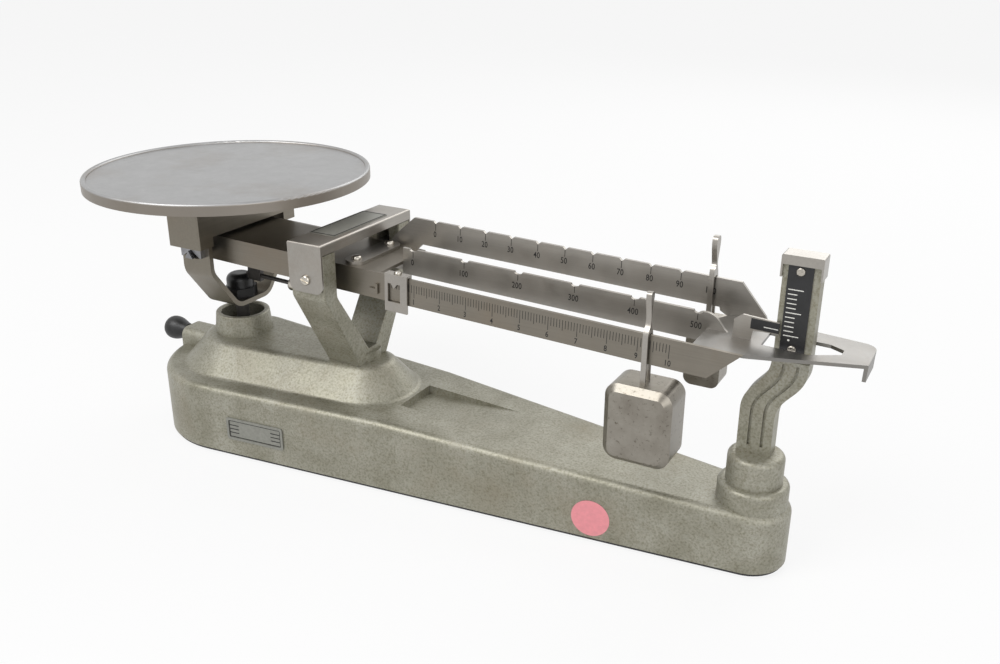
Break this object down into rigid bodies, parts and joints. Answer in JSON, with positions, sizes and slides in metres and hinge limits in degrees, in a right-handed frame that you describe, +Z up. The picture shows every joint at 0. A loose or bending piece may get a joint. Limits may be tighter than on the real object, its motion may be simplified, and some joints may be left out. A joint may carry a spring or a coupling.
{
  "type": "triple beam balance",
  "caption": "Mechanical laboratory balance: round pan on a parallel linkage, knife-edge beam with tiered scales, sliding poises, a rider and a pointer against an upright scale.",
  "frame": {"origin": "on the table, under the middle of the bounding box; the fulcrum stands 51.95 mm to -X of it", "axes": "+X from the pan towards the pointer, +Z up, front scale towards -Y"},
  "size_m": [0.4182, 0.1524, 0.1498],
  "materials": {
    "base": "grey hammered enamel on a casting",
    "bottom_plate": "dark painted sheet",
    "foot": "black rubber",
    "steel": "brushed stainless sheet",
    "beam": "brushed stainless sheet, a little dull",
    "pan": "worn stainless sheet",
    "poise": "plated weight, spotted with age",
    "knife": "hardened steel",
    "screw": "nickel plated",
    "label": "printed foil plate, left bare",
    "dark": "black enamel",
    "knob": "black moulded knob",
    "stem": "dull dark steel"
  },
  "bodies": {
    "stand": {"base": "base", "stem_collar": "base", "fork": "base", "pointer_post": "base", "bottom_plate": "bottom_plate", "foot_left_front": "foot", "foot_left_rear": "foot", "foot_right": "foot", "name_frame": "label", "link_bracket": "stem", "link_pin": "knife", "fulcrum_bearing_front": "knife", "fulcrum_bearing_rear": "knife", "bridge_cover": "steel", "label_plate": "label", "cover_screw_front": "screw", "cover_screw_rear": "screw", "scale_plate": "dark", "scale_screw_top": "screw", "scale_screw_bottom": "screw", "post_cap": "steel"},
    "beam": {"beam_channel": "beam", "rear_blade": "beam", "middle_blade": "beam", "tip_plate": "beam", "pointer_tab": "beam", "pointer_plate": "dark", "fulcrum_knife": "knife", "fulcrum_plate": "steel", "fulcrum_screw_front": "screw", "fulcrum_screw_rear": "screw", "pan_knife": "knife", "adjust_hanger": "stem", "adjust_rod": "stem"},
    "zero_nut": {"adjust_nut": "screw"},
    "front_rider": {"rider": "steel", "rider_screw": "screw"},
    "large_weight": {"large_bail": "steel", "large_poise": "poise"},
    "rear_weight": {"rear_bail": "steel", "rear_poise": "poise"},
    "pan_carrier": {"pan": "pan", "pan_support": "steel", "yoke": "steel", "pan_bearing_front": "knife", "pan_bearing_rear": "knife", "stem": "stem", "stem_pin": "knife", "stem_nut": "dark"},
    "link": {"check_link": "stem"},
    "knob": {"knob": "knob", "knob_shaft": "stem"}
  },
  "joints": [
    {"name": "beam_pivot", "type": "hinge", "parent": "stand", "child": "beam", "pos_m": [-0.05195, 0, 0.11], "axis": [0, -1, 0], "range_deg": [0, 4]},
    {"name": "pan_pivot", "type": "hinge", "parent": "beam", "child": "pan_carrier", "pos_m": [-0.13291, 0, 0.1124], "axis": [0, -1, 0], "range_deg": [-4.2, 0.2]},
    {"name": "link_pivot", "type": "hinge", "parent": "stand", "child": "link", "pos_m": [-0.05195, 0, 0.02], "axis": [0, -1, 0], "range_deg": [-0.2, 4.2]},
    {"name": "rider_slide", "type": "slide", "parent": "beam", "child": "front_rider", "axis": [0.9996, 0, -0.0297], "range_m": [-0.0039, 0.112]},
    {"name": "large_weight_slide", "type": "slide", "parent": "beam", "child": "large_weight", "axis": [0.9996, 0, -0.0297], "range_m": [-0.004, 0.012]},
    {"name": "rear_weight_slide", "type": "slide", "parent": "beam", "child": "rear_weight", "axis": [0.9996, 0, -0.0297], "range_m": [-0.148, 0.003]},
    {"name": "zero_nut_travel", "type": "slide", "parent": "beam", "child": "zero_nut", "axis": [0.9996, 0, -0.0297], "range_m": [-0.004, 0.002]},
    {"name": "knob_turn", "type": "hinge", "parent": "stand", "child": "knob", "pos_m": [-0.17795, 0, 0.045], "axis": [-1, 0, 0], "continuous": true}
  ],
  "couplings": [
    {"joint": "pan_pivot", "follows": "beam_pivot", "ratio": -1},
    {"joint": "link_pivot", "follows": "beam_pivot", "ratio": 1}
  ]
}
